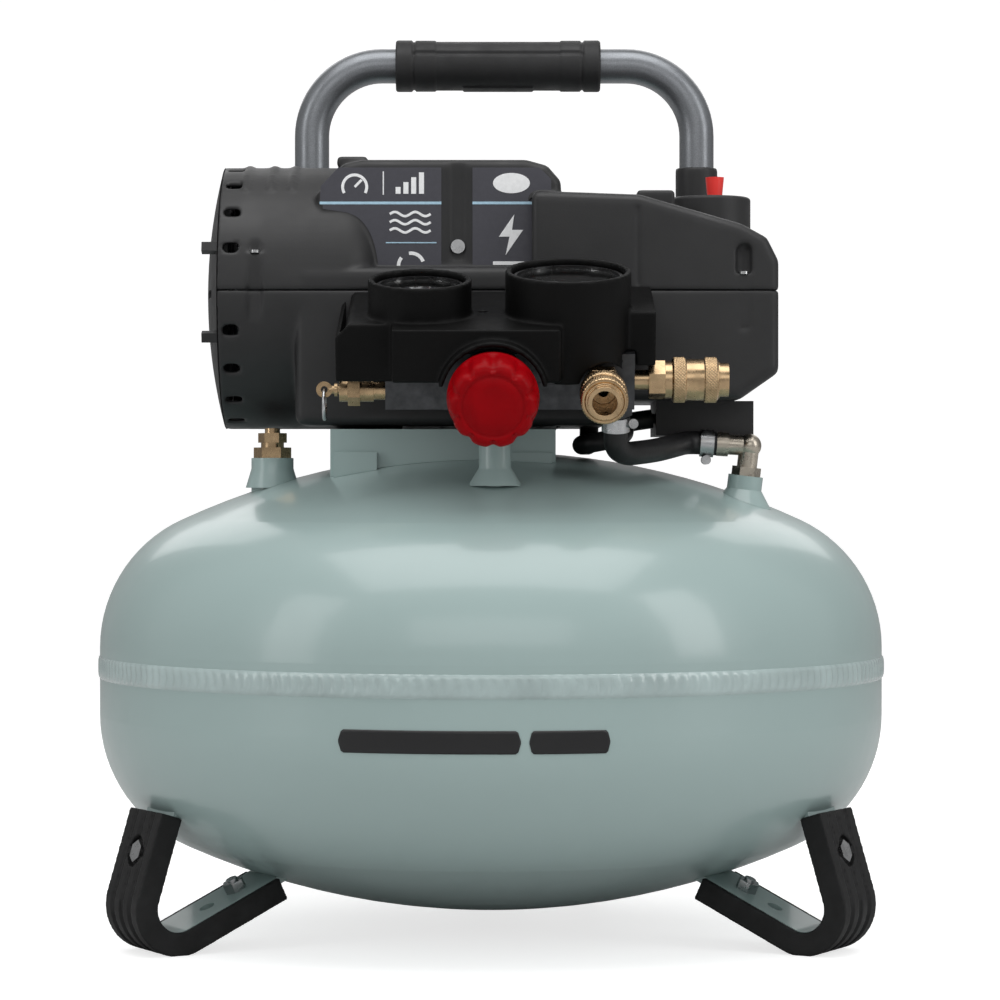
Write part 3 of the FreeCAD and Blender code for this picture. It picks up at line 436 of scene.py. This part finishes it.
# --- pieces that replace CAD nodes --------------------------------------------------------------
def build_weld():
    """The seam's weld bead, with the ripples its passes leave."""
    low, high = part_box("tank_seam_weld")
    middle = (low.z + high.z) / 2
    half = (high.z - low.z) / 2
    outside = high.x - 0.0003
    wall = TANK_HIGH.x
    rows = 11
    profile = []
    for j in range(rows):
        t = -1 + 2 * j / (rows - 1)
        crown = math.sqrt(max(0.0, 1 - abs(t) ** 2.6))
        profile.append((t * half, wall - 0.0002 + (outside - wall) * crown))

    def ripple(a, along, r):
        t = along / half
        edge = max(0.0, 1 - t * t)
        scales = abs(math.sin(110 * a + 1.4 * t * t + 0.6 * math.sin(9 * a)))
        drift = 0.5 + 0.5 * math.sin(5 * a + 1.0) * math.sin(13 * a)
        return r - (0.00075 * (1 - scales) + 0.0004 * drift) * edge

    steps = 1440
    bead = turned("seam_bead", (0, 0, middle), UP, profile, steps, ripple, hint=SIDE)
    mesh = bead.data
    caps = [polygon.index for polygon in mesh.polygons if len(polygon.vertices) > 4]
    clean = bmesh.new()
    clean.from_mesh(mesh)
    clean.faces.ensure_lookup_table()
    bmesh.ops.delete(clean, geom=[clean.faces[i] for i in caps], context="FACES_ONLY")
    clean.to_mesh(mesh)
    clean.free()
    piece(bead, "base", "tank_paint", WELD_PAINT, ["tank_seam_weld"])


def build_knob():
    """The regulator's red knob: ten shallow flutes, a skirt and a ring cut in its face."""
    start = KNOB_POINT - CONSOLE_FRONT * 8 * MM
    rows = [(-26, 3.9), (-0.2, 3.9), (0, 16), (0, 20.4), (0.6, 21.6), (2.2, 22.3), (4.2, 22.4), (5.0, 22.0)]
    rows += [(5.4 + i * 1.4, 22.0 - 0.09 * i) for i in range(10)]
    rows += [(19.4, 20.9), (20.8, 20.3), (21.8, 19.3), (22.4, 18.1), (22.6, 17.0), (22.6, 15.6),
             (22.1, 15.1), (22.1, 14.3), (22.6, 13.8), (22.8, 8.0), (22.9, 0.05)]
    profile = [(a * MM, r * MM) for a, r in rows]
    flutes = 10

    def ripple(a, along, r):
        if r < 17.5 * MM or along < 4.4 * MM:
            return r
        depth = 1.5 * MM * min(1.0, (along - 4.4 * MM) / (3 * MM))
        wave = 0.5 + 0.5 * math.cos(flutes * a)
        return r - depth * wave ** 3

    knob = turned("knob", start, CONSOLE_FRONT, profile, 240, ripple)
    piece(knob, "knob", "knob_red", None, ["regulator_knob"])


def knurled_sleeve(name, node, axis, start, length, body, bands, bore):
    """A coupler's sliding sleeve with real diamond knurling on its bands."""
    step = 0.25
    count = int(length / step)
    rows = [(0.0, bore), (0.0, body - 0.5), (0.4, body)]
    for i in range(1, count):
        x = i * step
        band = next((b for b in bands if b[0] <= x <= b[1]), None)
        if band:
            edge = min(1.0, (x - band[0]) / 0.5, (band[1] - x) / 0.5)
            rows.append((x, body + (band[2] - body) * max(0.0, edge)))
        else:
            rows.append((x, body))
    rows += [(length - 0.3, body), (length, body - 0.5), (length, bore), (0.02, bore)]
    profile = [(a * MM, r * MM) for a, r in rows]
    teeth = 44
    pitch = 2 * math.pi * bands[0][2] / teeth

    def ripple(a, along, r):
        if r < (bands[0][2] - 0.15) * MM:
            return r
        turn = 2 * math.pi * (along / MM) / pitch
        cut = max(abs(math.sin((teeth * a + turn) / 2)), abs(math.sin((teeth * a - turn) / 2)))
        return r - 0.4 * MM * (cut ** 6)

    sleeve = turned(name, start, axis, profile, 352, ripple, closed=True)
    piece(sleeve, [b for b, nodes in frame["record"]["behaviour"]["bodies"].items() if node in nodes][0],
          "brass", None, [node])


def console_axes_point(x, front, up):
    """A point of the console from the knob's axis: sideways, forward of and above it, in mm."""
    return KNOB_POINT + SIDE * x * MM + CONSOLE_FRONT * front * MM + CONSOLE_UP * up * MM


def build_sleeves():
    knurled_sleeve("front_sleeve", "front_coupler_sleeve", CONSOLE_FRONT, console_axes_point(53.5, -15, 0),
                   19.0, 10.7, [(0.6, 6.6, 11.6), (12.6, 18.6, 11.6)], 9.25)
    low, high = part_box("side_coupler_sleeve")
    middle = (low + high) / 2
    knurled_sleeve("side_sleeve", "side_coupler_sleeve", SIDE, (low.x, middle.y, middle.z),
                   (high.x - low.x) / MM, 10.3, [(0.4, 6.9, 11.35), (15.8, 22.4, 11.35)], 9.25)


def build_grip():
    """The handle's rubber grip: end collars, bands, a long parting groove and a raised top pad."""
    low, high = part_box("handle_grip")
    middle = (low + high) / 2
    length = (high.x - low.x) / MM
    outer = (high.z - low.z) / 2 / MM
    step = 0.8
    count = int(length / step)
    profile = [(0.0, 9.6 * MM), (0.0, (outer - 0.9) * MM)]
    for i in range(count + 1):
        x = min(length, max(0.5, i * step))
        side = min(x, length - x)
        r = outer
        if 9.4 < side < 10.8:
            r = outer - 1.0
        elif side >= 10.8 and side < 22.0:
            r = outer - 0.15
        elif side >= 22.0:
            r = outer - 0.75
        if side < 1.0:
            r = outer - 0.5 * (1.0 - side)
        profile.append((x * MM, r * MM))
    profile += [(length * MM, (outer - 0.9) * MM), (length * MM, 9.6 * MM)]

    def ripple(a, along, r):
        x = along / MM
        side = min(x, length - x)
        angle = math.degrees(a) % 360
        if r < 10 * MM or side < 9.6:
            return r
        for groove in (205.0, 335.0):
            away = abs(angle - groove)
            if away < 7:
                r -= 0.9 * MM * (1 - (away / 7) ** 2)
        if 62 < angle < 118 and abs(x - length / 2) < 19:
            r += 0.7 * MM
        return min(r, outer * MM)

    grip = turned("grip", (low.x, middle.y, middle.z), SIDE, profile, 160, ripple, hint=(0, -1, 0))
    piece(grip, "base", "pad_rubber", GRIP_RUBBER, ["handle_grip"])


# --- graphics -----------------------------------------------------------------------------------
def arc_points(cx, cy, r, start, end, steps=20):
    return [(cx + r * math.cos(math.radians(start + (end - start) * i / steps)),
             cy + r * math.sin(math.radians(start + (end - start) * i / steps))) for i in range(steps + 1)]


def stroke(points, width):
    """The outline of a line of even width through 2D points."""
    left, right = [], []
    for i, (x, y) in enumerate(points):
        before = points[max(0, i - 1)]
        after = points[min(len(points) - 1, i + 1)]
        direction = Vector((after[0] - before[0], after[1] - before[1])).normalized()
        normal = Vector((-direction.y, direction.x)) * width / 2
        left.append((x + normal.x, y + normal.y))
        right.append((x - normal.x, y - normal.y))
    return left + right[::-1]


def bar(x0, x1, y0, y1):
    return [(x0, y0), (x1, y0), (x1, y1), (x0, y1)]


def label_plate(name, outline, material, lift=0.0):
    """A film on the front of the pump cover's raised panel. The outline is (x, height) in mm."""
    face = Vector((0, LABEL_Y - 0.00002 - lift * MM, 0))
    plate = slab(name, [(x * MM, z * MM) for x, z in outline], face, SIDE, UP, 0.00022, bevel=0.00005)
    piece(plate, "base", "shroud_plastic", material)


LABEL_Y = -0.047
BARREL_MM = 69.0
BARREL_END = -58.0
BARREL_ROUND = 20.0


def barrel_edge(z):
    """How far right the motor's round housing stands out of the label's plane, at a height in mm."""
    axis_y, axis_z = MOTOR_AXIS.y / MM, MOTOR_AXIS.z / MM
    reach = math.hypot(axis_y - LABEL_Y / MM, z - axis_z)
    if reach >= BARREL_MM:
        return None
    swell = min(1.0, max(0.0, (reach - BARREL_MM + BARREL_ROUND) / BARREL_ROUND))
    return BARREL_END - BARREL_ROUND + BARREL_ROUND * math.sqrt(1 - swell ** 2)


def build_labels():
    top = 396.5
    line_z = 379.0
    left, split_left, split_right, right = -88.0, -25.5, -9.5, 31.0
    bottom = 336.0
    upper = [(left, line_z), (split_left, line_z), (split_left, top), (-78.5, top), (left + 0.6, line_z + 8)]
    label_plate("label_upper_left", upper, LABEL_FILM)
    lower = [(split_left, line_z - 1.4), (left, line_z - 1.4)]
    for i in range(24):
        z = line_z - 2.0 - (line_z - 2.0 - bottom) * i / 23
        edge = barrel_edge(z)
        lower.append(((edge if edge is not None else left) + 1.6, z))
    lower.append((split_left, bottom))
    lower = [p for i, p in enumerate(lower) if i < 2 or p[0] > -77 or p[1] > 375]
    label_plate("label_lower_left", lower, LABEL_FILM)
    label_plate("label_right", [(split_right, bottom), (right, bottom), (right, top - 6), (right - 6, top),
                                (split_right, top)], LABEL_FILM)
    label_plate("label_line_left", bar(left, split_left, line_z - 1.4, line_z), LABEL_BLUE, 0.05)
    label_plate("label_line_right", bar(split_right, right, line_z - 1.4, line_z), LABEL_BLUE, 0.2)
    label_plate("label_rule_upper", bar(-55.6, -55.0, 382.5, 394.5), LABEL_WHITE, 0.2)
    label_plate("label_rule_lower", bar(-54, -28, 357.6, 358.2), LABEL_BLUE, 0.2)
    icons = [
        ("dial_arc", stroke(arc_points(-70, 386.5, 6.2, -30, 210), 1.5)),
        ("dial_hand", stroke([(-70, 386.5), (-66.4, 390.2)], 1.3)),
        ("level_1", bar(-49, -46.4, 383, 386.5)), ("level_2", bar(-45, -42.4, 383, 389)),
        ("level_3", bar(-41, -38.4, 383, 391.5)), ("level_4", bar(-37, -34.4, 383, 394)),
        ("flow_1", stroke([(-52 + i, 372.6 + 1.1 * math.sin(i * 0.6)) for i in range(22)], 1.3)),
        ("flow_2", stroke([(-52 + i, 368.4 + 1.1 * math.sin(i * 0.6)) for i in range(22)], 1.3)),
        ("flow_3", stroke([(-52 + i, 364.2 + 1.1 * math.sin(i * 0.6)) for i in range(22)], 1.3)),
        ("fan_1", stroke(arc_points(-41, 346, 6.5, 20, 100), 1.8)),
        ("fan_2", stroke(arc_points(-41, 346, 6.5, 140, 220), 1.8)),
        ("fan_3", stroke(arc_points(-41, 346, 6.5, 260, 340), 1.8)),
        ("tank_body", arc_points(10.5, 388.5, 9.5, 0, 360, 30)[:-1]),
        ("bolt", [(12, 372.5), (4, 361), (9.5, 361), (7.5, 351.5), (16.5, 364.5), (10.8, 364.5)]),
        ("motor_bar", bar(1, 20, 346.5, 348.3)),
    ]
    for name, outline in icons:
        if name == "tank_body":
            outline = [(x, 388.5 + (z - 388.5) * 0.55) for x, z in outline]
        label_plate("icon_" + name, outline, LABEL_WHITE, 0.22)


def tank_front(x, z):
    """The point of the tank's front at a sideways place and a height, in metres."""
    knuckle = 0.073
    band_low = 0.114
    radius = TANK_HIGH.x
    if z < band_low:
        radius = TANK_HIGH.x - knuckle + math.sqrt(knuckle ** 2 - (band_low - z) ** 2)
    return Vector((x, -math.sqrt(radius ** 2 - x ** 2), z))


def tank_decal(name, outline_at, x0, x1, steps):
    """A thin film on the tank's front between two heights that may change along it."""
    rows = 8
    vertices, faces = [], []
    for i in range(steps + 1):
        x = x0 + (x1 - x0) * i / steps
        low, high = outline_at(i / steps)
        for j in range(rows + 1):
            z = low + (high - low) * j / rows
            point = tank_front(x * MM, z * MM)
            vertices.append(point + Vector((point.x, point.y, 0)).normalized() * 0.00018)
    for i in range(steps):
        for j in range(rows):
            a = i * (rows + 1) + j
            faces.append((a, a + rows + 1, a + rows + 2, a + 1))
    film = mesh_object(name, vertices, faces)
    shell = film.modifiers.new("film", "SOLIDIFY")
    shell.thickness = 0.00012
    shell.offset = 1
    piece(film, "base", "tank_paint", TANK_INK)


def build_decals():
    """Plain dark bars where the tank's front carries its graphic."""
    z = 113.0
    half = 5.5

    def rounded_end(r):
        def edge(t):
            away = min(t, 1 - t) * 2
            cut = half * math.sqrt(max(0.0, 1 - max(0.0, 1 - away * r) ** 2))
            return z - max(0.6, cut), z + max(0.6, cut)
        return edge

    tank_decal("stripe_long", rounded_end(16), -72, 14, 70)
    tank_decal("stripe_short", rounded_end(8), 18, 56, 40)


def text_mesh(name, words, size):
    data = bpy.data.curves.new(name + "_text", "FONT")
    data.body = words
    data.size = size
    data.align_x = "CENTER"
    data.align_y = "CENTER"
    data.extrude = 0.00005
    holder = new_object(name + "_holder", data)
    mesh = bpy.data.meshes.new_from_object(holder.evaluated_get(bpy.context.evaluated_depsgraph_get()))
    bpy.data.objects.remove(holder)
    return new_object(name, mesh)


# gauge, its needle's joint and the top of its scale
DIALS = (("tank_gauge", "tank_needle_turn", 250),
         ("outlet_gauge", "outlet_needle_turn", 200))


def build_dials():
    for prefix, joint, top_value in DIALS:
        pivot = Vector(JOINTS[joint]["pos_m"])
        low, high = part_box(prefix + "_dial")
        radius = (high.x - low.x) / 2
        face = pivot - CONSOLE_UP * 0.00097
        right, up = SIDE, -CONSOLE_FRONT
        marks = 50
        outlines = []
        for i in range(marks + 1):
            angle = math.radians(225 - 270 * i / marks)
            long = i % 10 == 0
            middle = i % 5 == 0
            inner = radius * (0.76 if long else 0.82 if middle else 0.86)
            width = 0.0007 if long else 0.0004
            d = Vector((math.cos(angle), math.sin(angle)))
            outlines.append(stroke([tuple(d * inner), tuple(d * radius * 0.93)], width))
        outlines.append(stroke(arc_points(0, 0, radius * 0.95, 225, -45, 60), 0.0003))
        vertices, faces = [], []
        for outline in outlines:
            base = len(vertices)
            vertices += [face + right * x + up * y for x, y in outline]
            half = len(outline) // 2
            for i in range(half - 1):
                faces.append((base + i, base + i + 1, base + 2 * half - 2 - i, base + 2 * half - 1 - i))
        marking = mesh_object(prefix + "_marks", vertices, faces, smooth=False)
        thick = marking.modifiers.new("ink", "SOLIDIFY")
        thick.thickness = 0.0001
        piece(marking, "base", "gauge_dial", LABEL_WHITE)
        turn = Matrix((right, up, CONSOLE_UP)).transposed().to_4x4()
        for i in range(6):
            angle = math.radians(225 - 270 * i / 5)
            place = face + (right * math.cos(angle) + up * math.sin(angle)) * radius * 0.58
            number = text_mesh(f"{prefix}_number_{i}", str(top_value * i // 5), radius * 0.2)
            number.data.transform(Matrix.Translation(place) @ turn)
            piece(number, "base", "gauge_dial", LABEL_WHITE)


def build_pieces():
    build_weld()
    build_knob()
    build_sleeves()
    build_grip()
    build_labels()
    build_decals()
    build_dials()


# --- stage, lights, camera ----------------------------------------------------------------------
def add_stage():
    size = 6.0
    corner = 1.2
    back = 2.2
    profile = [(-size, 0.0), (back, 0.0)]
    steps = 16
    for i in range(1, steps + 1):
        a = math.pi / 2 * i / steps
        profile.append((back + corner * math.sin(a), corner * (1 - math.cos(a))))
    profile.append((back + corner, size))
    vertices = [(x, y, z) for y, z in profile for x in (-size, size)]
    faces = [(2 * i, 2 * i + 1, 2 * i + 3, 2 * i + 2) for i in range(len(profile) - 1)]
    floor = mesh_object("floor", vertices, faces)
    paint(floor, floor_paint())


def area_light(name, place, target, size, power, color=(1, 1, 1)):
    data = bpy.data.lights.new(name, "AREA")
    data.shape = "RECTANGLE"
    data.size, data.size_y = size
    data.energy = power
    data.color = color
    lamp = new_object(name, data)
    lamp.location = place
    lamp.rotation_mode = "QUATERNION"
    lamp.rotation_quaternion = (Vector(target) - Vector(place)).to_track_quat("-Z", "Y")
    return lamp


def add_lights():
    middle = (0, 0, 0.25)
    area_light("overhead", (0, -0.5, 2.2), middle, (2.4, 1.6), 31)
    area_light("left_box", (-1.9, -1.2, 1.0), middle, (0.7, 1.8), 8)
    area_light("right_box", (1.9, -1.1, 1.1), middle, (0.7, 1.8), 12)
    area_light("front_fill", (0, -2.6, 1.2), middle, (2.2, 1.0), 8)
    area_light("rear_glow", (0, 1.6, 1.4), middle, (2.6, 1.2), 12)
    world = bpy.data.worlds.new("studio")
    world.use_nodes = True
    world.node_tree.nodes["Background"].inputs["Color"].default_value = (1, 1, 1, 1)
    world.node_tree.nodes["Background"].inputs["Strength"].default_value = 0.4
    bpy.context.scene.world = world
    bpy.context.scene.view_settings.view_transform = "Standard"


def add_camera():
    lens_mm = 122.796
    pitch_down = math.radians(0.3023496)
    yaw_right = math.radians(0.1511758)
    data = bpy.data.cameras.new("camera")
    data.sensor_width = 36.0
    data.lens = lens_mm
    data.clip_end = 50
    camera = new_object("camera", data)
    camera.location = (0, -1.8, 0.235)
    camera.rotation_euler = (math.pi / 2 - pitch_down, 0, -yaw_right)
    bpy.context.scene.camera = camera


def main():
    paint_nodes()
    finish_nodes()
    build_pieces()
    add_stage()
    add_lights()
    add_camera()


main()
